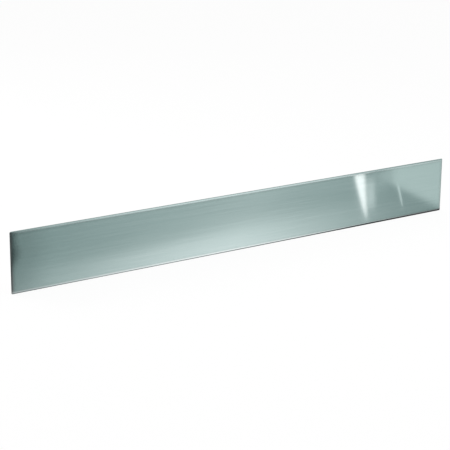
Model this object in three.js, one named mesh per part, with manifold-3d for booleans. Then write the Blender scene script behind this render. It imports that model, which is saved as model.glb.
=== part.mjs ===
// Self-adhesive kick plate for a door.
//
// A satin stainless sheet with rounded-over edges carries seven strips of foam mounting tape on its
// back. Each strip still has its own release liner, with a pull tab past one end of the tape.
//
// Millimetres, +Z up. X runs along the plate and the show face looks towards -Y. The origin is the
// middle of the plane that meets the door, which is the outer face of the liners.

import * as THREE from 'three';
import { mergeVertices } from 'three/addons/utils/BufferGeometryUtils.js';
import Module from 'manifold-3d';

// ---- driving dimensions ----

const plateLength = 900;
const plateHeight = 100;
const plateThickness = 1.5;
const plateCornerRadius = 2;
const roundOverWidth = 4.2;     // the front edge falls away over this width, as a quarter of an ellipse,
const roundOverDepth = 1.3;     // and by this much, which leaves a thin square edge behind it
const roundOverSteps = 6;
const cornerSteps = 4;
const backAllowance = 1;        // extra thickness on the blank, faced off to leave a square back edge
const cutterMargin = 10;        // how far a cutter runs past the blank

const tapeWidth = 19;
const tapeThickness = 1.125;
const linerThickness = 0.125;
const edgeInset = 5;            // from the plate's edge to the tape and its liner
const stripGap = 2;             // between an upright strip and the long ones
const tabLength = 10;           // how far a liner runs past its tape, to be gripped
const tabCornerRadius = 5;
const tabCornerSteps = 6;

// ---- sizes that follow from them ----

const linerFrontY = -linerThickness;
const plateBackY = linerFrontY - tapeThickness;

const longRun = plateLength - 2 * edgeInset;
const longStripZ = plateHeight / 2 - edgeInset - tapeWidth / 2;
const uprightRun = 2 * (longStripZ - tapeWidth / 2 - stripGap);
const endStripX = longRun / 2 - tapeWidth / 2;
const crossStripX = endStripX / 2;

// ---- materials ----

const satinSteel = new THREE.MeshStandardMaterial({ color: 0xa3b4b2, roughness: 0.32, metalness: 1 });
const greyFoam = new THREE.MeshStandardMaterial({ color: 0x55585a, roughness: 0.9, metalness: 0 });
const redFilm = new THREE.MeshStandardMaterial({ color: 0xb4352a, roughness: 0.35, metalness: 0 });

// ---- outlines, in the plane of the plate ----

// A rectangle from x0 to x1 and half a height either side of zero, with its own radius at each end.
function stripOutline(x0, x1, height, startRadius, endRadius) {
  const half = height / 2;
  const outline = new THREE.Shape();
  outline.moveTo(x0 + startRadius, -half);
  outline.lineTo(x1 - endRadius, -half);
  if (endRadius > 0) outline.absarc(x1 - endRadius, -half + endRadius, endRadius, -Math.PI / 2, 0);
  outline.lineTo(x1, half - endRadius);
  if (endRadius > 0) outline.absarc(x1 - endRadius, half - endRadius, endRadius, 0, Math.PI / 2);
  outline.lineTo(x0 + startRadius, half);
  if (startRadius > 0) outline.absarc(x0 + startRadius, half - startRadius, startRadius, Math.PI / 2, Math.PI);
  outline.lineTo(x0, -half + startRadius);
  if (startRadius > 0) outline.absarc(x0 + startRadius, -half + startRadius, startRadius, Math.PI, 1.5 * Math.PI);
  return outline;
}

// Extrudes an outline and stands it up: the outline's y becomes +Z, and the depth runs towards -Y.
function standingSheet(outline, depth, steps) {
  const geometry = new THREE.ExtrudeGeometry(outline, { depth, curveSegments: steps, bevelEnabled: false });
  return geometry.rotateX(Math.PI / 2);
}

// ---- solid helpers ----

const wasm = await Module();
wasm.setup();

function toSolid(geometry) {
  const positions = geometry.clone();
  positions.deleteAttribute('normal');
  positions.deleteAttribute('uv');
  const welded = mergeVertices(positions);
  return new wasm.Manifold(new wasm.Mesh({
    numProp: 3,
    vertProperties: new Float32Array(welded.attributes.position.array),
    triVerts: new Uint32Array(welded.index.array),
  }));
}

function toGeometry(solid) {
  const mesh = solid.getMesh();
  const geometry = new THREE.BufferGeometry();
  geometry.setAttribute('position', new THREE.BufferAttribute(mesh.vertProperties, 3));
  geometry.setIndex(new THREE.BufferAttribute(mesh.triVerts, 1));
  geometry.computeVertexNormals();
  return geometry;
}

// ---- sub-parts ----

// The sheet: a blank rounded over on both faces, with its corners clipped to their radius, then faced
// off at the back so that only the front is rounded.
function facePlate() {
  const half = plateLength / 2;
  const flatHalf = half - roundOverWidth;
  const blank = new THREE.ExtrudeGeometry(
    stripOutline(-flatHalf, flatHalf, plateHeight - 2 * roundOverWidth, 0, 0),
    {
      depth: plateThickness - roundOverDepth + backAllowance,
      bevelEnabled: true,
      bevelThickness: roundOverDepth,
      bevelSize: roundOverWidth,
      bevelSegments: roundOverSteps,
    },
  );
  blank.rotateX(Math.PI / 2);
  blank.translate(0, backAllowance, 0);

  const outline = stripOutline(-half, half, plateHeight, plateCornerRadius, plateCornerRadius);
  const clip = standingSheet(outline, plateThickness + cutterMargin, cornerSteps);

  const sheet = toSolid(blank).intersect(toSolid(clip));
  const mesh = new THREE.Mesh(toGeometry(sheet), satinSteel);
  mesh.name = 'face_plate';
  mesh.position.y = plateBackY;
  return mesh;
}

// One tape strip with its liner, along X, the tab at the +X end.
function adhesiveStrip(name, run) {
  const start = -run / 2;
  const tapeEnd = run / 2 - tabLength;

  const tape = new THREE.Mesh(
    standingSheet(stripOutline(start, tapeEnd, tapeWidth, 0, 0), tapeThickness, 1),
    greyFoam,
  );
  tape.name = `${name}_tape`;
  tape.position.y = linerFrontY;

  const liner = new THREE.Mesh(
    standingSheet(stripOutline(start, run / 2, tapeWidth, 0, tabCornerRadius), linerThickness, tabCornerSteps),
    redFilm,
  );
  liner.name = `${name}_liner`;

  const strip = new THREE.Group();
  strip.add(tape, liner);
  return strip;
}

// ---- the assembly ----

const kickPlate = new THREE.Group();
kickPlate.add(facePlate());

// The long strips are the same piece turned end for end, so their tabs are at opposite ends.
const topStrip = adhesiveStrip('top', longRun);
topStrip.position.z = longStripZ;

const bottomStrip = adhesiveStrip('bottom', longRun);
bottomStrip.position.z = -longStripZ;
bottomStrip.rotation.y = Math.PI;

kickPlate.add(topStrip, bottomStrip);

// The upright strips stand between them, each with its tab at the lower end.
const uprightStrips = [
  ['left_end', -endStripX],
  ['left_cross', -crossStripX],
  ['centre_cross', 0],
  ['right_cross', crossStripX],
  ['right_end', endStripX],
];

for (const [name, x] of uprightStrips) {
  const strip = adhesiveStrip(name, uprightRun);
  strip.position.x = x;
  strip.rotation.y = Math.PI / 2;
  kickPlate.add(strip);
}

export default kickPlate;
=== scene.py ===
"""A self-adhesive kick plate: a satin stainless sheet, foam mounting tape and release liners.

Metres, in the row frame: +X along the plate, the show face towards -Y, +Z up.
"""

import math

import bmesh
import bpy
from mathutils import Matrix, Vector, noise


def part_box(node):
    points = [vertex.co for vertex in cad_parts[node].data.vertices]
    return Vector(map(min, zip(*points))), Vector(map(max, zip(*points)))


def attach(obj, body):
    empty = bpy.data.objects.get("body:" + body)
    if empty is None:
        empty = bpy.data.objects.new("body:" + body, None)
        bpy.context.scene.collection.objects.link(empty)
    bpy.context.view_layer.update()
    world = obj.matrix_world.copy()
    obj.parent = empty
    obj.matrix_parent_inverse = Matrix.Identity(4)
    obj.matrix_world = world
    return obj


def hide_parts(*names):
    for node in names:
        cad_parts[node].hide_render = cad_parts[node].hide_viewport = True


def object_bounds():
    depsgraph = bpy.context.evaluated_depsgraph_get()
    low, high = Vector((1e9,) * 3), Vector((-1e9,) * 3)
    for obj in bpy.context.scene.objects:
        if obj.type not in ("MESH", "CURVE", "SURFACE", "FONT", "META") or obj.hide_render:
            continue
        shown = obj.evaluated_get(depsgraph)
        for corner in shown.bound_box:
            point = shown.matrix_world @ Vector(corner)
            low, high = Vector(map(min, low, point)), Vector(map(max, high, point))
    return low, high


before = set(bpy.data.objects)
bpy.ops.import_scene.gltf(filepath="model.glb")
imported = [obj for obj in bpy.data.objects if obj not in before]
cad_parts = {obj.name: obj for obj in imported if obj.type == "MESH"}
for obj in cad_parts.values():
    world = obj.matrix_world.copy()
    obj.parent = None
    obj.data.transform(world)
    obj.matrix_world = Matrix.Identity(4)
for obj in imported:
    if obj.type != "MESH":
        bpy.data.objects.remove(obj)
cad_low, cad_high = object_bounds()

MM = 0.001
SHOW_FACE = cad_low.y           # the sheet's show face is the frontmost plane
FOOT = cad_low.z                # and it stands on its lower edge

# The sheet
CORNER_RADIUS = 2.0 * MM
ROUND_WIDTH = 4.2 * MM          # the front edge falls away over this width, as a quarter of an ellipse
ROUND_DEPTH = 1.3 * MM
ROUND_STEPS = 10
BACK_EASE = 0.08 * MM           # the softened arris behind the thin square edge
EDGE_MARGIN = 5.5 * MM          # from the plate's edge to where its square grid starts
ROLL_WAVE = 0.05 * MM           # the flatness a rolled sheet really has
GRID_STEP = 4.0 * MM
FACE_SLOT, EDGE_SLOT, BACK_SLOT = range(3)

# The tape and its liners
TAPE_SIDE_WAIST = 0.14 * MM     # the cut foam draws in between its two bonded faces
TAPE_KNIFE_WAVE = 0.12 * MM
TAPE_SIDE_STEPS = 4
TAB_CORNER_RADIUS = 5.0 * MM
TAB_DROOP = 0.7 * MM            # the free tab sags towards the sheet behind it
FILM_RIPPLE = 0.03 * MM
FILM_COLUMNS = 8

UPRIGHT_STRIPS = ("left_end", "left_cross", "centre_cross", "right_cross", "right_end")
LONG_STRIPS = ("top", "bottom")

LAY_MAP = "lay"                 # U along the grain or strip and V across it, in metres from the middle

# The camera: front left and a little above, with a long lens
CAMERA_PLACE = Vector((-1.3908, -1.8833, 0.6489))
CAMERA_HEADING = math.radians(35.510)
CAMERA_TILT = math.radians(15.717)
CAMERA_ROLL = math.radians(0.505)
CAMERA_LENS = 113.97


# ---------------------------------------------------------------- mesh helpers


def smooth_step(value):
    """0 to 1, easing in and out, held outside that range."""
    t = min(1.0, max(0.0, value))
    return t * t * (3 - 2 * t)


def rounded_outline(half_x, half_z, radius, steps_x, steps_z, steps_corner=5):
    """Points round a rectangle with rounded corners, anticlockwise from its lower left."""
    inner_x = half_x - radius
    inner_z = half_z - radius
    sides = (
        ((-inner_x, -half_z), (inner_x, -half_z), steps_x, (inner_x, -inner_z), -90),
        ((half_x, -inner_z), (half_x, inner_z), steps_z, (inner_x, inner_z), 0),
        ((inner_x, half_z), (-inner_x, half_z), steps_x, (-inner_x, inner_z), 90),
        ((-half_x, inner_z), (-half_x, -inner_z), steps_z, (-inner_x, -inner_z), 180),
    )
    points = []
    for start, end, steps, centre, angle in sides:
        for step in range(steps):
            points.append(Vector(start).lerp(Vector(end), step / steps))
        for step in range(steps_corner):
            turn = math.radians(angle + 90 * step / steps_corner)
            points.append(Vector(centre) + radius * Vector((math.cos(turn), math.sin(turn))))
    return points


def add_bands(mesh, rings, slots=None):
    """Joins each ring of points to the next by a band of faces, each band in its material slot."""
    around = len(rings[0])
    for r in range(len(rings) - 1):
        for i in range(around):
            j = (i + 1) % around
            face = mesh.faces.new((rings[r][i], rings[r][j], rings[r + 1][j], rings[r + 1][i]))
            face.material_index = slots[r] if slots else 0


def new_piece(name, mesh_data, materials, nodes):
    """Links the mesh as a piece that rides on the plate and stands for its CAD nodes."""
    mesh = bpy.data.meshes.new(name)
    mesh_data.to_mesh(mesh)
    mesh_data.free()
    for material in materials:
        mesh.materials.append(material)
    piece = bpy.data.objects.new(name, mesh)
    bpy.context.scene.collection.objects.link(piece)
    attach(piece, "root")
    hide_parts(*nodes)
    return piece


# ---------------------------------------------------------------- the sheet


def roll_wave(x, z):
    """How far the show face falls short of dead flat, from 0 to ROLL_WAVE."""
    swell = noise.noise(Vector((x * 7, z * 16, 0.3)))
    return ROLL_WAVE * (0.5 + 0.5 * swell)


class SheetPlace:
    """The sheet's sizes, and where each point of it lies."""

    def __init__(self):
        low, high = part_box("face_plate")
        self.back = high.y
        self.thickness = high.y - low.y
        self.half_x = (high.x - low.x) / 2
        self.half_z = (high.z - low.z) / 2
        self.steps_x = round(2 * self.half_x / GRID_STEP)
        self.steps_z = round(2 * self.half_z / GRID_STEP)

    def point(self, x, z, depth):
        """depth runs from the back face, 0, to the show face, the sheet's thickness."""
        thinning = 1 - roll_wave(x, z) / self.thickness
        return Vector((x, self.back - depth * thinning, z))


def sheet_profile(thickness):
    """Rings of (inset from the outline, depth), from the back face round to the show face.

    The slots are those of the bands between the rings.
    """
    back = [(EDGE_MARGIN, 0), (2 * BACK_EASE, 0), (BACK_EASE, 0)]
    edge = [(BACK_EASE * 0.3, BACK_EASE * 0.3), (0, BACK_EASE)]
    for step in range(ROUND_STEPS + 1):
        turn = math.pi / 2 * step / ROUND_STEPS
        fall = ROUND_DEPTH * (1 - math.sin(turn))
        edge.append((ROUND_WIDTH * (1 - math.cos(turn)), thickness - fall))
    slots = [BACK_SLOT] * (len(back) - 1) + [EDGE_SLOT] * len(edge) + [FACE_SLOT]
    return back + edge + [(EDGE_MARGIN, thickness)], slots


def add_sheet_border(mesh, sheet):
    """The border all round: the back's outer part, the thin edge, the rim and the face's outer part."""
    rings = []
    profile, slots = sheet_profile(sheet.thickness)
    for inset, depth in profile:
        radius = 0.0 if inset == EDGE_MARGIN else CORNER_RADIUS
        outline = rounded_outline(
            sheet.half_x - inset, sheet.half_z - inset, radius, sheet.steps_x, sheet.steps_z
        )
        rings.append([mesh.verts.new(sheet.point(p.x, p.y, depth)) for p in outline])
    add_bands(mesh, rings, slots)


def add_sheet_middle(mesh, sheet, depth, slot):
    """The flat middle of one face, as a square grid that meets the border's innermost ring."""
    grid_x = sheet.half_x - EDGE_MARGIN
    grid_z = sheet.half_z - EDGE_MARGIN
    columns = []
    for i in range(sheet.steps_x + 1):
        x = grid_x * (2 * i / sheet.steps_x - 1)
        heights = [grid_z * (2 * k / sheet.steps_z - 1) for k in range(sheet.steps_z + 1)]
        columns.append([mesh.verts.new(sheet.point(x, z, depth)) for z in heights])
    for left, right in zip(columns, columns[1:]):
        for k in range(sheet.steps_z):
            corners = [left[k], right[k], right[k + 1], left[k + 1]]
            face = mesh.faces.new(corners if slot == FACE_SLOT else reversed(corners))
            face.material_index = slot


def fill_sheet_uv(mesh, lay):
    """The grain runs along the sheet, and up it on the two end edges."""
    for face in mesh.faces:
        is_edge = face.material_index == EDGE_SLOT
        is_end = is_edge and abs(face.normal.x) > 0.5
        for loop in face.loops:
            p = loop.vert.co
            if is_end:
                loop[lay].uv = (p.z, p.x + p.y)
            elif is_edge:
                loop[lay].uv = (p.x, p.z + p.y)
            else:
                loop[lay].uv = (p.x, p.z)


def build_face_plate(face_material, edge_material, back_material):
    """The sheet in one piece, with its rounded-over rim."""
    sheet = SheetPlace()
    mesh = bmesh.new()
    lay = mesh.loops.layers.uv.new(LAY_MAP)
    add_sheet_border(mesh, sheet)
    add_sheet_middle(mesh, sheet, 0, BACK_SLOT)
    add_sheet_middle(mesh, sheet, sheet.thickness, FACE_SLOT)
    bmesh.ops.remove_doubles(mesh, verts=mesh.verts, dist=0.002 * MM)
    bmesh.ops.recalc_face_normals(mesh, faces=mesh.faces)
    for face in mesh.faces:
        face.smooth = True
    fill_sheet_uv(mesh, lay)

    piece = new_piece(
        "satin_sheet", mesh, [face_material, edge_material, back_material], ["face_plate"]
    )
    weighting = piece.modifiers.new("flat faces stay flat", "WEIGHTED_NORMAL")
    weighting.keep_sharp = True
    return piece


# ---------------------------------------------------------------- tape and liners


class StripPlace:
    """Where a strip lies: distances run from its square end towards its tab, and across it."""

    def __init__(self, name):
        tape_low, tape_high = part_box(f"{name}_tape")
        liner_low, liner_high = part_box(f"{name}_liner")
        size = liner_high - liner_low
        axis = 0 if size.x > size.z else 2
        over_high = liner_high[axis] - tape_high[axis]
        over_low = tape_low[axis] - liner_low[axis]
        self.along = Vector((0, 0, 0))
        self.along[axis] = 1 if over_high > over_low else -1
        self.across = Vector((0, 1, 0)).cross(self.along)
        centre = (liner_low + liner_high) / 2
        self.length = size[axis]
        self.tape_length = tape_high[axis] - tape_low[axis]
        self.width = size[2 - axis]
        self.start = centre - self.along * self.length / 2
        self.start.y = 0
        self.liner_back = liner_high.y
        self.liner_front = liner_low.y
        self.tape_front = tape_low.y
        self.seed = centre.x * 3.1 + centre.z * 17.0
        self.is_long = name in LONG_STRIPS

    def point(self, distance, offset, y):
        """A place on the strip; offset runs across it from its centre line."""
        p = self.start + self.along * distance + self.across * offset
        p.y = y
        return p


def fill_uv(mesh, strip):
    """Metres along and across the strip from its middle; the sides carry on past the edge."""
    lay = mesh.loops.layers.uv.new(LAY_MAP)
    middle = strip.start + strip.along * strip.length / 2
    for face in mesh.faces:
        side = abs(face.normal.y) < 0.5
        for loop in face.loops:
            p = loop.vert.co - middle
            depth = p.y if side else 0
            loop[lay].uv = (p.dot(strip.along), p.dot(strip.across) + depth)


def add_tape_ring(mesh, strip, distance, inwards):
    """The points round the tape at one place along it.

    inwards is 1 at the first end and -1 at the last, which draw in as the sides do, and 0 between.
    """
    thickness = strip.liner_front - strip.tape_front
    upwards = range(TAPE_SIDE_STEPS + 1)
    ring = []
    for sign, rise in ((-1, upwards), (1, reversed(upwards))):
        wave = noise.noise(Vector((distance * 90, sign * 4, strip.seed)))
        cut = TAPE_KNIFE_WAVE * (0.5 + 0.5 * wave)
        for k in rise:
            share = k / TAPE_SIDE_STEPS
            waist = TAPE_SIDE_WAIST * math.sin(math.pi * share)
            offset = sign * (strip.width / 2 - cut - waist)
            y = strip.tape_front + share * thickness
            ring.append(mesh.verts.new(strip.point(distance + inwards * waist, offset, y)))
    return ring


def build_tape(name, strip, material):
    """A length of foam tape: two flat bonded faces, drawn-in sides and knife-cut ends."""
    step = 5 * MM if strip.is_long else 1.5 * MM
    stations = round(strip.tape_length / step)
    mesh = bmesh.new()
    rings = []
    for i in range(stations + 1):
        inwards = 1 if i == 0 else -1 if i == stations else 0
        rings.append(add_tape_ring(mesh, strip, strip.tape_length * i / stations, inwards))
    add_bands(mesh, rings)
    for ring in (rings[0], rings[-1]):
        for k in range(TAPE_SIDE_STEPS):
            far = len(ring) - 1 - k
            mesh.faces.new((ring[k], ring[k + 1], ring[far - 1], ring[far]))
    bmesh.ops.recalc_face_normals(mesh, faces=mesh.faces)
    fill_uv(mesh, strip)
    return new_piece(f"{name}_foam_strip", mesh, [material], [f"{name}_tape"])


def film_distances(strip):
    """Places along the film: even steps as far as the tab's corners, then closer ones round them."""
    step = 5 * MM if strip.is_long else 2 * MM
    corner_steps = 7
    body_end = strip.length - TAB_CORNER_RADIUS
    body_steps = round(body_end / step)
    distances = [body_end * i / body_steps for i in range(body_steps + 1)]
    for i in range(1, corner_steps + 1):
        distances.append(body_end + TAB_CORNER_RADIUS * math.sin(math.pi / 2 * i / corner_steps))
    return distances


def film_half_width(strip, distance):
    """Half the film's width, drawn in where the tab's corners are rounded."""
    body_end = strip.length - TAB_CORNER_RADIUS
    into_corner = max(0.0, distance - body_end) / TAB_CORNER_RADIUS
    pull_in = TAB_CORNER_RADIUS * (1 - math.sqrt(max(0.0, 1 - into_corner ** 2)))
    return strip.width / 2 - pull_in


def add_film_points(mesh, strip):
    """Rows of points over the film's outer face and its inner one, with the tab sagging."""
    film = strip.liner_back - strip.liner_front
    twist = 0.5 * noise.noise(Vector((strip.seed, 2.0, 5.0)))
    outer = []
    inner = []
    for distance in film_distances(strip):
        half = film_half_width(strip, distance)
        free = smooth_step((distance - strip.tape_length) / (strip.length - strip.tape_length))
        outer_row = []
        inner_row = []
        for c in range(FILM_COLUMNS + 1):
            offset = half * (2 * c / FILM_COLUMNS - 1)
            droop = TAB_DROOP * free * (1 + twist * offset / half)
            wave = noise.noise(Vector((distance * 60, offset * 120, strip.seed)))
            ripple = FILM_RIPPLE * (0.5 + 0.5 * wave)
            y = strip.liner_back - droop - ripple
            outer_row.append(mesh.verts.new(strip.point(distance, offset, y)))
            inner_row.append(mesh.verts.new(strip.point(distance, offset, y - film + ripple)))
        outer.append(outer_row)
        inner.append(inner_row)
    return outer, inner


def way_round(rows):
    """The points round the outside of a grid of rows."""
    up = [row[0] for row in rows] + rows[-1][1:]
    back = [row[-1] for row in rows[-2::-1]] + rows[0][-2:0:-1]
    return up + back


def build_liner(name, strip, material):
    """Thin film over the tape, with a free tab that sags past the tape's end."""
    sharp_turn = 0.7            # radians between two faces, past which their edge stays sharp
    mesh = bmesh.new()
    outer, inner = add_film_points(mesh, strip)
    for rows in (outer, inner):
        for before, after in zip(rows, rows[1:]):
            for c in range(FILM_COLUMNS):
                mesh.faces.new((before[c], before[c + 1], after[c + 1], after[c]))
    add_bands(mesh, [way_round(outer), way_round(inner)])
    bmesh.ops.recalc_face_normals(mesh, faces=mesh.faces)
    for face in mesh.faces:
        face.smooth = abs(face.normal.y) > 0.5
    fill_uv(mesh, strip)
    for edge in mesh.edges:
        if len(edge.link_faces) == 2 and edge.calc_face_angle() > sharp_turn:
            edge.smooth = False
    return new_piece(f"{name}_release_film", mesh, [material], [f"{name}_liner"])


# ---------------------------------------------------------------- shader helpers


class Nodes:
    """Adds nodes to a tree and links them, so a material reads from top to bottom."""

    def __init__(self, tree):
        self.tree = tree

    def add(self, kind, **settings):
        node = self.tree.nodes.new(kind)
        for name, value in settings.items():
            setattr(node, name, value)
        return node

    def put(self, target, value):
        """Gives an input socket a value, or links an output to it."""
        if isinstance(value, bpy.types.NodeSocket):
            self.tree.links.new(value, target)
        else:
            target.default_value = value

    def math(self, operation, a, b=0.0, clamp=False):
        node = self.add("ShaderNodeMath", operation=operation, use_clamp=clamp)
        self.put(node.inputs[0], a)
        self.put(node.inputs[1], b)
        return node.outputs[0]

    def spread(self, value, low, high, to_low=0.0, to_high=1.0):
        """Maps low..high to to_low..to_high, held at both ends."""
        node = self.add("ShaderNodeMapRange")
        for name, v in zip(("Value", "From Min", "From Max", "To Min", "To Max"),
                           (value, low, high, to_low, to_high)):
            self.put(node.inputs[name], v)
        return node.outputs["Result"]

    def blend(self, factor, a, b):
        """Colour a where factor is 0 and colour b where it is 1."""
        node = self.add("ShaderNodeMix", data_type="RGBA")
        self.put(node.inputs["Factor"], factor)
        self.put(node.inputs[6], a)
        self.put(node.inputs[7], b)
        return node.outputs[2]

    def tinted(self, base, tone, mask, strength):
        """Turns the base colour towards a tone by a mask, as far as strength."""
        return self.blend(self.math("MULTIPLY", mask, strength), base, tone)

    def stretched(self, vector, x, y, z=1.0):
        """Multiplies a vector's parts, which squeezes a texture along each axis."""
        node = self.add("ShaderNodeVectorMath", operation="MULTIPLY")
        size = self.add("ShaderNodeCombineXYZ")
        for socket, value in zip(size.inputs, (x, y, z)):
            self.put(socket, value)
        self.put(node.inputs[0], vector)
        self.put(node.inputs[1], size.outputs[0])
        return node.outputs[0]

    def cloud(self, vector, scale=1.0, detail=2.0, roughness=0.5):
        """Soft noise, from 0 to 1."""
        node = self.add("ShaderNodeTexNoise")
        self.put(node.inputs["Vector"], vector)
        self.put(node.inputs["Scale"], scale)
        node.inputs["Detail"].default_value = detail
        node.inputs["Roughness"].default_value = roughness
        return node.outputs["Fac"]

    def lay(self):
        """Metres along the grain or strip and across it."""
        return self.add("ShaderNodeUVMap", uv_map=LAY_MAP).outputs["UV"]

    def group(self, tree, **values):
        """Places a shared group and gives its inputs their values; underscores stand for spaces."""
        node = self.add("ShaderNodeGroup", node_tree=tree)
        for name, value in values.items():
            self.put(node.inputs[name.replace("_", " ")], value)
        return node.outputs

    def bump(self, height, distance, strength=1.0, normal=None):
        """Raises the surface by distance, in metres, where the height is 1."""
        node = self.add("ShaderNodeBump")
        self.put(node.inputs["Height"], height)
        node.inputs["Distance"].default_value = distance
        node.inputs["Strength"].default_value = strength
        if normal is not None:
            self.put(node.inputs["Normal"], normal)
        return node.outputs["Normal"]


def new_group(name, inputs, outputs):
    """A shader node group: inputs are (name, kind, default), outputs are (name, kind)."""
    tree = bpy.data.node_groups.new(name, "ShaderNodeTree")
    for title, kind, default in inputs:
        socket = tree.interface.new_socket(title, in_out="INPUT", socket_type=f"NodeSocket{kind}")
        if default is not None:
            socket.default_value = default
    for title, kind in outputs:
        tree.interface.new_socket(title, in_out="OUTPUT", socket_type=f"NodeSocket{kind}")
    nodes = Nodes(tree)
    source = nodes.add("NodeGroupInput").outputs
    result = nodes.add("NodeGroupOutput").inputs
    return tree, nodes, source, result


def new_material(name):
    """A node material, with its helper and its Principled BSDF."""
    material = bpy.data.materials.new(name)
    material.use_nodes = True
    nodes = Nodes(material.node_tree)
    shader = material.node_tree.nodes["Principled BSDF"]
    return material, nodes, shader


# ---------------------------------------------------------------- shared effects


def make_grain_group():
    """Long fine lines, as abrasive belts and rolls leave: a fine set over a broad set."""
    tree, nodes, source, result = new_group(
        "Grain",
        [("Vector", "Vector", None), ("Lines Per Metre", "Float", 3000.0),
         ("Line Length", "Float", 0.12), ("Broad Share", "Float", 0.4)],
        [("Lines", "Float")],
    )
    across = source["Lines Per Metre"]
    along = nodes.math("DIVIDE", 1.0, source["Line Length"])
    fine = nodes.cloud(nodes.stretched(source["Vector"], along, across), detail=3.0, roughness=0.65)
    longer = nodes.math("MULTIPLY", along, 0.35)
    wider = nodes.math("MULTIPLY", across, 0.09)
    broad = nodes.cloud(nodes.stretched(source["Vector"], longer, wider), detail=2.0)
    share = source["Broad Share"]
    kept = nodes.math("SUBTRACT", 1.0, share)
    mixed = nodes.math("ADD", nodes.math("MULTIPLY", fine, kept), nodes.math("MULTIPLY", broad, share))
    nodes.put(result["Lines"], nodes.spread(mixed, 0.32, 0.68))
    return tree


def make_scratch_group():
    """Sparse hairlines at a small angle to the grain."""
    tree, nodes, source, result = new_group(
        "Hairline Scratches",
        [("Vector", "Vector", None), ("Angle", "Float", 0.0), ("Lines Per Metre", "Float", 900.0),
         ("Line Length", "Float", 0.05), ("Amount", "Float", 0.5)],
        [("Mask", "Float")],
    )
    turned = nodes.add("ShaderNodeVectorRotate", rotation_type="Z_AXIS")
    nodes.put(turned.inputs["Vector"], source["Vector"])
    nodes.put(turned.inputs["Angle"], source["Angle"])
    along = nodes.math("DIVIDE", 1.0, source["Line Length"])
    lines = nodes.cloud(
        nodes.stretched(turned.outputs[0], along, source["Lines Per Metre"]), detail=0.0
    )
    patches = nodes.cloud(nodes.stretched(source["Vector"], 9.0, 22.0), detail=1.0)
    threshold = nodes.math("SUBTRACT", 0.86, nodes.math("MULTIPLY", source["Amount"], 0.16))
    gathered = nodes.math("ADD", lines, nodes.math("MULTIPLY", patches, 0.12))
    over = nodes.math("SUBTRACT", gathered, threshold)
    nodes.put(result["Mask"], nodes.math("MULTIPLY", over, 14.0, clamp=True))
    return tree


def make_handling_group():
    """Soft blotches where a surface has been wiped and handled."""
    tree, nodes, source, result = new_group(
        "Handling Marks",
        [("Vector", "Vector", None), ("Blotch Size", "Float", 0.06), ("Stretch", "Float", 2.0)],
        [("Mask", "Float")],
    )
    across = nodes.math("DIVIDE", 1.0, source["Blotch Size"])
    along = nodes.math("DIVIDE", across, source["Stretch"])
    blotch = nodes.cloud(nodes.stretched(source["Vector"], along, across), detail=3.0, roughness=0.55)
    nodes.put(result["Mask"], nodes.spread(blotch, 0.42, 0.68))
    return tree


def make_edge_group():
    """1 at a sheet's or strip's edge, falling to 0 a short way in, with a ragged boundary."""
    tree, nodes, source, result = new_group(
        "Edge Border",
        [("Vector", "Vector", None), ("Half Length", "Float", 0.45), ("Half Width", "Float", 0.05),
         ("Reach", "Float", 0.002)],
        [("Mask", "Float")],
    )
    parts = nodes.add("ShaderNodeSeparateXYZ")
    nodes.put(parts.inputs[0], source["Vector"])
    from_end = nodes.math("SUBTRACT", source["Half Length"], nodes.math("ABSOLUTE", parts.outputs["X"]))
    from_side = nodes.math("SUBTRACT", source["Half Width"], nodes.math("ABSOLUTE", parts.outputs["Y"]))
    nearest = nodes.math("MINIMUM", from_end, from_side)
    ragged = nodes.cloud(source["Vector"], scale=260.0, detail=2.0)
    reach = nodes.math("MULTIPLY", source["Reach"], nodes.math("ADD", ragged, 0.5))
    share = nodes.math("DIVIDE", nearest, reach)
    nodes.put(result["Mask"], nodes.math("SUBTRACT", 1.0, share, clamp=True))
    return tree


# ---------------------------------------------------------------- materials


def brushed_steel(groups, half_length, half_width):
    """The show face: belt-brushed along its length, so highlights smear up and down it.

    The darker band round the face's edge is painted shade, standing in for the dark line along the rim.
    """
    groove = (0.455, 0.572, 0.562, 1)
    ridge = (0.545, 0.653, 0.643, 1)
    wiped_tone = (0.45, 0.565, 0.555, 1)
    scratch_tone = (0.62, 0.69, 0.68, 1)
    # Painted shade: the darker tone of the band round the face's edge
    painted_rim_shade_tone = (0.34, 0.43, 0.42, 1)

    material, nodes, shader = new_material("brushed_steel_face")
    lay = nodes.lay()
    grain = nodes.group(
        groups["grain"], Vector=lay, Lines_Per_Metre=2600.0, Line_Length=0.16, Broad_Share=0.22
    )["Lines"]
    hairlines = nodes.group(groups["scratch"], Vector=lay, Angle=0.03, Amount=0.35)["Mask"]
    wiped = nodes.group(groups["handling"], Vector=lay, Blotch_Size=0.05, Stretch=3.5)["Mask"]
    painted_rim_shade = nodes.group(
        groups["edge"], Vector=lay, Half_Length=half_length, Half_Width=half_width, Reach=7.5 * MM
    )["Mask"]

    steel = nodes.blend(grain, groove, ridge)
    steel = nodes.tinted(steel, wiped_tone, wiped, 0.3)
    steel = nodes.tinted(steel, scratch_tone, hairlines, 0.3)
    # Paints shade in a band round the face's edge, strongest at the rim
    steel = nodes.tinted(steel, painted_rim_shade_tone, painted_rim_shade, 0.9)
    nodes.put(shader.inputs["Base Color"], steel)

    rough = nodes.spread(grain, 0.0, 1.0, 0.17, 0.20)
    hazed = nodes.math("ADD", rough, nodes.math("MULTIPLY", wiped, 0.025))
    nodes.put(shader.inputs["Roughness"], hazed)
    fine = nodes.bump(grain, 0.002 * MM, 0.6)
    nodes.put(shader.inputs["Normal"], nodes.bump(hairlines, -0.004 * MM, 0.5, fine))
    shader.inputs["Metallic"].default_value = 1.0
    shader.inputs["Anisotropic"].default_value = 0.9
    shader.inputs["Anisotropic Rotation"].default_value = 0.25
    tangent = nodes.add("ShaderNodeTangent", direction_type="UV_MAP", uv_map=LAY_MAP)
    nodes.put(shader.inputs["Tangent"], tangent.outputs[0])
    return material


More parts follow.
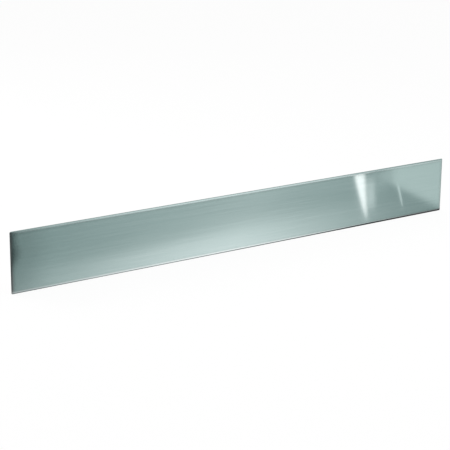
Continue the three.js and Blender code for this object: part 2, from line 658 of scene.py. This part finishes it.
def ground_steel(groups):
    """The rounded-over rim and the thin edge behind it: ground along their run."""
    groove = (0.45, 0.535, 0.53, 1)
    ridge = (0.57, 0.645, 0.64, 1)
    handled_tone = (0.45, 0.5, 0.5, 1)

    material, nodes, shader = new_material("ground_steel_edge")
    lay = nodes.lay()
    lines = nodes.group(groups["grain"], Vector=lay, Lines_Per_Metre=7000.0, Line_Length=0.03)["Lines"]
    marks = nodes.group(groups["handling"], Vector=lay, Blotch_Size=0.01, Stretch=4.0)["Mask"]
    steel = nodes.tinted(nodes.blend(lines, groove, ridge), handled_tone, marks, 0.3)
    nodes.put(shader.inputs["Base Color"], steel)
    nodes.put(shader.inputs["Roughness"], nodes.spread(lines, 0.0, 1.0, 0.16, 0.24))
    nodes.put(shader.inputs["Normal"], nodes.bump(lines, 0.003 * MM, 0.5))
    shader.inputs["Metallic"].default_value = 1.0
    return material


def mill_steel(groups):
    """The back of the sheet, left as the mill rolled it."""
    dark = (0.47, 0.50, 0.50, 1)
    light = (0.54, 0.57, 0.57, 1)
    stain_tone = (0.41, 0.44, 0.44, 1)
    scratch_tone = (0.66, 0.68, 0.68, 1)

    material, nodes, shader = new_material("mill_finish_back")
    lay = nodes.lay()
    rolled = nodes.group(
        groups["grain"], Vector=lay, Lines_Per_Metre=1100.0, Line_Length=0.5, Broad_Share=0.6
    )["Lines"]
    stains = nodes.group(groups["handling"], Vector=lay, Blotch_Size=0.035, Stretch=1.6)["Mask"]
    scratches = nodes.group(
        groups["scratch"], Vector=lay, Angle=0.5, Lines_Per_Metre=700.0, Amount=0.5
    )["Mask"]
    steel = nodes.blend(rolled, dark, light)
    steel = nodes.tinted(steel, stain_tone, stains, 0.4)
    steel = nodes.tinted(steel, scratch_tone, scratches, 0.5)
    nodes.put(shader.inputs["Base Color"], steel)
    nodes.put(shader.inputs["Roughness"], nodes.spread(stains, 0.0, 1.0, 0.36, 0.44))
    nodes.put(shader.inputs["Normal"], nodes.bump(rolled, 0.003 * MM, 0.5))
    shader.inputs["Metallic"].default_value = 1.0
    return material


def foam(groups):
    """Closed-cell acrylic foam: matt, dark grey, with fine cells on its cut sides."""
    cells_per_metre = 6500.0
    hollow = (0.050, 0.053, 0.056, 1)
    wall = (0.105, 0.110, 0.115, 1)
    dust_tone = (0.15, 0.15, 0.15, 1)

    material, nodes, shader = new_material("acrylic_foam")
    cells = nodes.add("ShaderNodeTexVoronoi", feature="F1")
    nodes.put(cells.inputs["Vector"], nodes.add("ShaderNodeTexCoord").outputs["Object"])
    nodes.put(cells.inputs["Scale"], cells_per_metre)
    cell = cells.outputs["Distance"]
    dust = nodes.group(groups["handling"], Vector=nodes.lay(), Blotch_Size=0.012, Stretch=3.0)["Mask"]
    grey = nodes.blend(nodes.spread(cell, 0.1, 0.7), hollow, wall)
    nodes.put(shader.inputs["Base Color"], nodes.tinted(grey, dust_tone, dust, 0.3))
    nodes.put(shader.inputs["Roughness"], nodes.spread(cell, 0.0, 1.0, 0.78, 0.92))
    nodes.put(shader.inputs["Normal"], nodes.bump(cell, 0.05 * MM, 0.7))
    return material


def release_film(groups, name, half_length, half_width):
    """Red polyethylene film: semi-gloss, with slitting lines, faint creases and paler rubbed edges."""
    deep = (0.40, 0.022, 0.014, 1)
    bright = (0.50, 0.036, 0.022, 1)
    handled_tone = (0.55, 0.075, 0.055, 1)
    rubbed_tone = (0.66, 0.17, 0.13, 1)

    material, nodes, shader = new_material(name)
    lay = nodes.lay()
    slitting = nodes.group(
        groups["grain"], Vector=lay, Lines_Per_Metre=900.0, Line_Length=0.4, Broad_Share=0.5
    )["Lines"]
    handled = nodes.group(groups["handling"], Vector=lay, Blotch_Size=0.02, Stretch=1.3)["Mask"]
    rubbed = nodes.group(
        groups["edge"], Vector=lay, Half_Length=half_length, Half_Width=half_width, Reach=1.2 * MM
    )["Mask"]
    creases = nodes.group(
        groups["scratch"], Vector=lay, Angle=1.35, Lines_Per_Metre=160.0, Line_Length=0.03, Amount=0.7
    )["Mask"]

    red = nodes.blend(slitting, deep, bright)
    red = nodes.tinted(red, handled_tone, handled, 0.25)
    red = nodes.tinted(red, rubbed_tone, rubbed, 0.55)
    nodes.put(shader.inputs["Base Color"], red)

    rough = nodes.spread(slitting, 0.0, 1.0, 0.28, 0.36)
    dulled = nodes.math("ADD", rough, nodes.math("MULTIPLY", handled, 0.12))
    nodes.put(shader.inputs["Roughness"], dulled)
    soft = nodes.bump(nodes.cloud(lay, scale=70.0, detail=2.0), 0.25 * MM, 0.5)
    lined = nodes.bump(slitting, 0.006 * MM, 0.5, soft)
    nodes.put(shader.inputs["Normal"], nodes.bump(creases, 0.03 * MM, 0.6, lined))
    shader.inputs["Specular IOR Level"].default_value = 0.5
    return material


# ---------------------------------------------------------------- studio


def build_camera():
    """The product camera, turned by its heading, tilt and roll."""
    forward = Vector((
        math.sin(CAMERA_HEADING) * math.cos(CAMERA_TILT),
        math.cos(CAMERA_HEADING) * math.cos(CAMERA_TILT),
        -math.sin(CAMERA_TILT),
    ))
    level = Vector((math.cos(CAMERA_HEADING), -math.sin(CAMERA_HEADING), 0))
    above = level.cross(forward)
    right = level * math.cos(CAMERA_ROLL) + above * math.sin(CAMERA_ROLL)
    up = above * math.cos(CAMERA_ROLL) - level * math.sin(CAMERA_ROLL)
    data = bpy.data.cameras.new("product_camera")
    data.lens = CAMERA_LENS
    data.sensor_width = 36.0
    data.clip_end = 60.0
    camera = bpy.data.objects.new("product_camera", data)
    bpy.context.scene.collection.objects.link(camera)
    facing = Matrix((right, up, -forward)).transposed()
    camera.matrix_world = Matrix.Translation(CAMERA_PLACE) @ facing.to_4x4()
    bpy.context.scene.camera = camera


def bounced(x, z, reach):
    """Where the camera's line of sight is, reach metres after it leaves the show face at (x, z)."""
    seen = Vector((x, SHOW_FACE, z))
    ray = (seen - CAMERA_PLACE).normalized()
    ray.y = -ray.y
    return seen + ray * reach


def bell(value, middle, spread):
    """1 at the middle, easing away to nothing on both sides."""
    return math.exp(-((value - middle) / spread) ** 2)


def board_material(name, colour, brightness):
    """A clear board that glows, or with no brightness dims what is behind it, by its level."""
    material = bpy.data.materials.new(name)
    material.use_nodes = True
    nodes = Nodes(material.node_tree)
    material.node_tree.nodes.remove(material.node_tree.nodes["Principled BSDF"])
    level = nodes.add("ShaderNodeAttribute", attribute_name="level").outputs["Fac"]
    clear = nodes.add("ShaderNodeBsdfTransparent")
    surface = clear.outputs[0]
    if brightness > 0:
        glow = nodes.add("ShaderNodeEmission")
        glow.inputs["Color"].default_value = (*colour, 1)
        nodes.put(glow.inputs["Strength"], nodes.math("MULTIPLY", level, brightness))
        both = nodes.add("ShaderNodeAddShader")
        nodes.put(both.inputs[0], clear.outputs[0])
        nodes.put(both.inputs[1], glow.outputs[0])
        surface = both.outputs[0]
    else:
        nodes.put(clear.inputs["Color"], nodes.blend(level, (1, 1, 1, 1), (*colour, 1)))
    nodes.put(material.node_tree.nodes["Material Output"].inputs["Surface"], surface)
    return material


def build_board(name, place, level, colour, brightness=0.0, columns=40, rows=16):
    """A reflector board: place(u, v) is where it is and level(u, v) how strong, both over 0 to 1.

    Only reflections see it. It isn't seen itself, and it casts no light or shadow.
    """
    shares = [(i / columns, k / rows) for k in range(rows + 1) for i in range(columns + 1)]
    faces = []
    for k in range(rows):
        for i in range(columns):
            first = k * (columns + 1) + i
            faces.append((first, first + 1, first + columns + 2, first + columns + 1))
    mesh = bpy.data.meshes.new(name)
    mesh.from_pydata([place(u, v) for u, v in shares], [], faces)
    values = mesh.attributes.new("level", "FLOAT", "POINT")
    values.data.foreach_set("value", [level(u, v) for u, v in shares])
    mesh.materials.append(board_material(name, colour, brightness))
    board = bpy.data.objects.new(name, mesh)
    bpy.context.scene.collection.objects.link(board)
    board.visible_camera = False
    board.visible_shadow = False
    board.visible_diffuse = False


def mirrored(corners, reach):
    """Places a board so that the camera sees its corners at these (x, z) places on the face.

    The corners go lower left, lower right, upper right, upper left.
    """
    lower_left, lower_right, upper_right, upper_left = (Vector(c) for c in corners)

    def place(u, v):
        seen = lower_left.lerp(lower_right, u).lerp(upper_left.lerp(upper_right, u), v)
        return bounced(seen.x, seen.y, reach)

    return place


def faded(sides, ends):
    """Levels that ease to nothing at a board's edges, over these shares of its width and height."""
    def level(u, v):
        across = smooth_step(u / sides) * smooth_step((1 - u) / sides)
        return across * smooth_step(v / ends) * smooth_step((1 - v) / ends)

    return level


def build_floor():
    """A plain white floor that reads as paper white, with only a faint shadow under the sheet."""
    half = 12.0
    height = FOOT - 0.1 * MM
    whitening = 0.93            # how much of what the camera sees is plain paper white
    mesh = bpy.data.meshes.new("studio_floor")
    corners = [(x * half, y * half, height) for x, y in ((-1, -1), (1, -1), (1, 1), (-1, 1))]
    mesh.from_pydata(corners, [], [range(4)])
    floor = bpy.data.objects.new("studio_floor", mesh)
    bpy.context.scene.collection.objects.link(floor)
    material, nodes, shader = new_material("white_floor")
    shader.inputs["Base Color"].default_value = (0.9, 0.9, 0.9, 1)
    shader.inputs["Roughness"].default_value = 0.9
    paper = nodes.add("ShaderNodeEmission")
    seen = nodes.add("ShaderNodeLightPath").outputs["Is Camera Ray"]
    mix = nodes.add("ShaderNodeMixShader")
    nodes.put(mix.inputs[0], nodes.math("MULTIPLY", seen, whitening))
    nodes.put(mix.inputs[1], shader.outputs[0])
    nodes.put(mix.inputs[2], paper.outputs[0])
    nodes.put(material.node_tree.nodes["Material Output"].inputs["Surface"], mix.outputs[0])
    mesh.materials.append(material)
    floor.visible_glossy = False


def build_world():
    """A pale room, lighter to the left, and paper white where it is seen."""
    left_wall = 0.72
    right_wall = 0.425
    above_table = 0.15          # how much lighter the room is above the table's height
    under_ceiling = 0.15        # and how much darker again overhead
    far_right_shade = 0.045
    left_tint = (1.0, 0.97, 0.965, 1)
    right_tint = (0.82, 1.0, 0.985, 1)

    world = bpy.data.worlds.new("studio_room")
    bpy.context.scene.world = world
    world.use_nodes = True
    nodes = Nodes(world.node_tree)
    direction = nodes.add("ShaderNodeSeparateXYZ")
    nodes.put(direction.inputs[0], nodes.add("ShaderNodeTexCoord").outputs["Generated"])
    x, y, z = direction.outputs
    towards_right = nodes.math("MULTIPLY", nodes.spread(x, 0.08, 0.38), nodes.spread(y, 0.1, -0.3))
    walls = nodes.spread(towards_right, 0.0, 1.0, left_wall, right_wall)
    lift = nodes.spread(z, -0.15, 0.08, 0.0, above_table)
    overhead = nodes.spread(z, 0.4, 0.8, 0.0, under_ceiling)
    shade = nodes.spread(x, 0.63, 0.67, 0.0, far_right_shade)
    lit = nodes.math("ADD", walls, lift)
    strength = nodes.math("SUBTRACT", lit, nodes.math("ADD", overhead, shade))

    room = nodes.add("ShaderNodeBackground")
    nodes.put(room.inputs["Color"], nodes.blend(towards_right, left_tint, right_tint))
    nodes.put(room.inputs["Strength"], strength)
    white = nodes.add("ShaderNodeBackground")
    white.inputs["Color"].default_value = (1, 1, 1, 1)
    mix = nodes.add("ShaderNodeMixShader")
    nodes.put(mix.inputs[0], nodes.add("ShaderNodeLightPath").outputs["Is Camera Ray"])
    nodes.put(mix.inputs[1], room.outputs[0])
    nodes.put(mix.inputs[2], white.outputs[0])
    nodes.put(world.node_tree.nodes["World Output"].inputs["Surface"], mix.outputs[0])


def soft_light(name, place, aim, size, power):
    """A round soft light at a place, aimed at another."""
    data = bpy.data.lights.new(name, "AREA")
    data.shape = "DISK"
    data.size = size
    data.energy = power
    light = bpy.data.objects.new(name, data)
    bpy.context.scene.collection.objects.link(light)
    light.location = place
    light.rotation_euler = (Vector(aim) - Vector(place)).to_track_quat("-Z", "Y").to_euler()
    light.visible_camera = False
    return light


def build_lights():
    """A soft light overhead, and one behind for the back."""
    overhead = soft_light("overhead_softbox", (0.3, -0.4, 1.8), (0, 0, 0), 1.6, 14.0)
    overhead.visible_glossy = False
    soft_light("rear_softbox", (-0.9, 1.6, 1.2), (0, 0, 0), 1.4, 16.0)


def build_floor_pool():
    """Light lying on the floor in front, brightest close to the sheet."""
    sight_fall = 0.275          # how far the bounced line of sight drops in each metre
    half_width = 0.6
    top = 0.25                  # height above the foot where the pool's far side is mirrored

    def reflected_at(u, v):
        return half_width * (2 * u - 1), top * v

    def place(u, v):
        x, rise = reflected_at(u, v)
        return bounced(x, FOOT + rise, rise / sight_fall)

    def level(u, v):
        x, rise = reflected_at(u, v)
        bright_top = 0.020 + 0.009 * smooth_step((x + 0.3) / 0.3)
        bright = 1 - smooth_step((rise - bright_top) / 0.025)
        at_foot = 1 - smooth_step((rise - 0.0022) / 0.002)
        dim = 0.12 * bell(x, -0.03, 0.36) + 0.09 * bell(x, 0.0, 0.09)
        return dim + 0.60 * bright * bell(x, -0.085, 0.3) + 0.5 * at_foot * bell(x, -0.05, 0.45)

    build_board("floor_pool", place, level, (1.0, 0.87, 0.88), 1.0, columns=60, rows=250)


def build_window_panel():
    """A tall soft panel across the room."""
    left, right = 0.1, 1.35
    bottom, top = -0.27, 0.9
    away = -1.2

    def height(v):
        return bottom + (top - bottom) * v

    def place(u, v):
        return (left + (right - left) * u, away, height(v))

    def level(u, v):
        across = smooth_step(u / 0.4) * smooth_step((1 - u) / 0.1)
        rising = smooth_step((height(v) + 0.24) / 0.2)
        falling = 1 - smooth_step((height(v) - 0.5) / 0.4)
        return across * rising * falling

    build_board("window_panel", place, level, (1, 0.96, 0.96), 0.68)


def build_right_boards():
    """A lighter panel to the right, and two lamp tubes, the tall one with a halo and a haze."""
    # name, distance from the sheet, corners, fading sides and ends, colour, brightness
    boards = (
        ("right_panel", 0.06, ((0.285, 0.035), (0.53, -0.091), (0.53, 0.07), (0.285, 0.07)),
         0.25, 0.1, (1.0, 0.96, 0.95), 0.41),
        ("tall_streak", 0.10, ((0.2625, -0.038), (0.270, -0.038), (0.262, 0.064), (0.2225, 0.064)),
         0.3, 0.2, (1, 0.83, 0.84), 1.58),
        ("streak_halo", 0.10, ((0.264, -0.022), (0.292, -0.022), (0.290, 0.038), (0.254, 0.038)),
         0.45, 0.22, (1, 0.88, 0.89), 0.55),
        ("streak_haze", 0.10, ((0.270, 0.000), (0.328, 0.000), (0.318, 0.060), (0.262, 0.060)),
         0.35, 0.35, (1, 0.93, 0.93), 0.14),
        ("small_streak", 0.06, ((0.3525, -0.031), (0.357, -0.031), (0.342, 0.018), (0.336, 0.018)),
         0.4, 0.3, (1, 0.93, 0.93), 0.85),
    )
    for name, reach, corners, sides, ends, colour, brightness in boards:
        build_board(name, mirrored(corners, reach), faded(sides, ends), colour, brightness)


def build_left_flag():
    """A black flag in front of the sheet's left end, folded back round it."""
    inner_end = -0.3
    bottom, top = -0.09, 0.06
    gap = 0.02                  # between the flag and the show face
    front = 0.18                # how far it runs along the face
    wrap = 0.08                 # and then back past the end

    def run_and_height(u, v):
        return (front + wrap) * (1 - u), bottom + (top - bottom) * v

    def place(u, v):
        run, z = run_and_height(u, v)
        return (inner_end - min(run, front), SHOW_FACE - gap + max(run - front, 0), z)

    def level(u, v):
        run, z = run_and_height(u, v)
        bulge = 0.014 * smooth_step((z + 0.023) / 0.035) - 0.006 * smooth_step((z - 0.005) / 0.02)
        side = 0.141 - bulge
        solid = smooth_step((run - side + 0.012) / 0.024)
        veil = 0.25 * smooth_step(1 + (run - side) / 0.08)
        return 0.92 * solid + (1 - solid) * veil

    build_board("left_flag", place, level, (0.08, 0.10, 0.10), columns=90, rows=24)


def build_painted_foot_shadow():
    """A dark sheet on the floor along the foot that only reflections see: painted shadow, deepest to
    the right.
    """
    half_width = 0.47
    lift = 0.05 * MM

    def place(u, v):
        x = half_width * (2 * u - 1)
        towards_middle = smooth_step((x + 0.3) / 0.3)
        towards_right = smooth_step((x - 0.12) / 0.32)
        depth = (4.0 + 1.2 * towards_middle + 6.5 * towards_right) * MM
        return (x, -depth * v, FOOT + lift)

    def level(u, v):
        x = half_width * (2 * u - 1)
        strength = 0.6 + 0.4 * smooth_step((x + 0.1) / 0.35)
        return strength * (1 - smooth_step((v - 0.8) / 0.2))

    # Painted shadow: the near-black sheet that the rim reflects along the foot
    build_board("painted_foot_shadow", place, level, (0.02, 0.03, 0.03), columns=60, rows=20)


def build_boards():
    """Light and dark boards for the brushed face to reflect."""
    build_floor_pool()
    build_window_panel()
    build_right_boards()
    build_left_flag()
    build_painted_foot_shadow()


# ---------------------------------------------------------------- assembly


def build_piece_materials():
    """The finishes of the pieces, over one set of shared effects."""
    groups = {
        "grain": make_grain_group(),
        "scratch": make_scratch_group(),
        "handling": make_handling_group(),
        "edge": make_edge_group(),
    }
    low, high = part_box("face_plate")
    long_low, long_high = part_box("top_liner")
    short_low, short_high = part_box("centre_cross_liner")
    long_half = (long_high.x - long_low.x) / 2
    short_half = (short_high.z - short_low.z) / 2
    half_width = (long_high.z - long_low.z) / 2
    return {
        "face": brushed_steel(groups, (high.x - low.x) / 2, (high.z - low.z) / 2),
        "edge": ground_steel(groups),
        "back": mill_steel(groups),
        "foam": foam(groups),
        "long_film": release_film(groups, "red_film_long", long_half, half_width),
        "short_film": release_film(groups, "red_film_short", short_half, half_width),
    }


def build_object():
    """The sheet, then each strip of tape with its liner."""
    materials = build_piece_materials()
    build_face_plate(materials["face"], materials["edge"], materials["back"])
    for name in LONG_STRIPS + UPRIGHT_STRIPS:
        strip = StripPlace(name)
        film = materials["long_film"] if name in LONG_STRIPS else materials["short_film"]
        build_tape(name, strip, materials["foam"])
        build_liner(name, strip, film)


build_camera()
build_object()
build_floor()
build_world()
build_lights()
build_boards()
bpy.context.scene.view_settings.view_transform = "Standard"
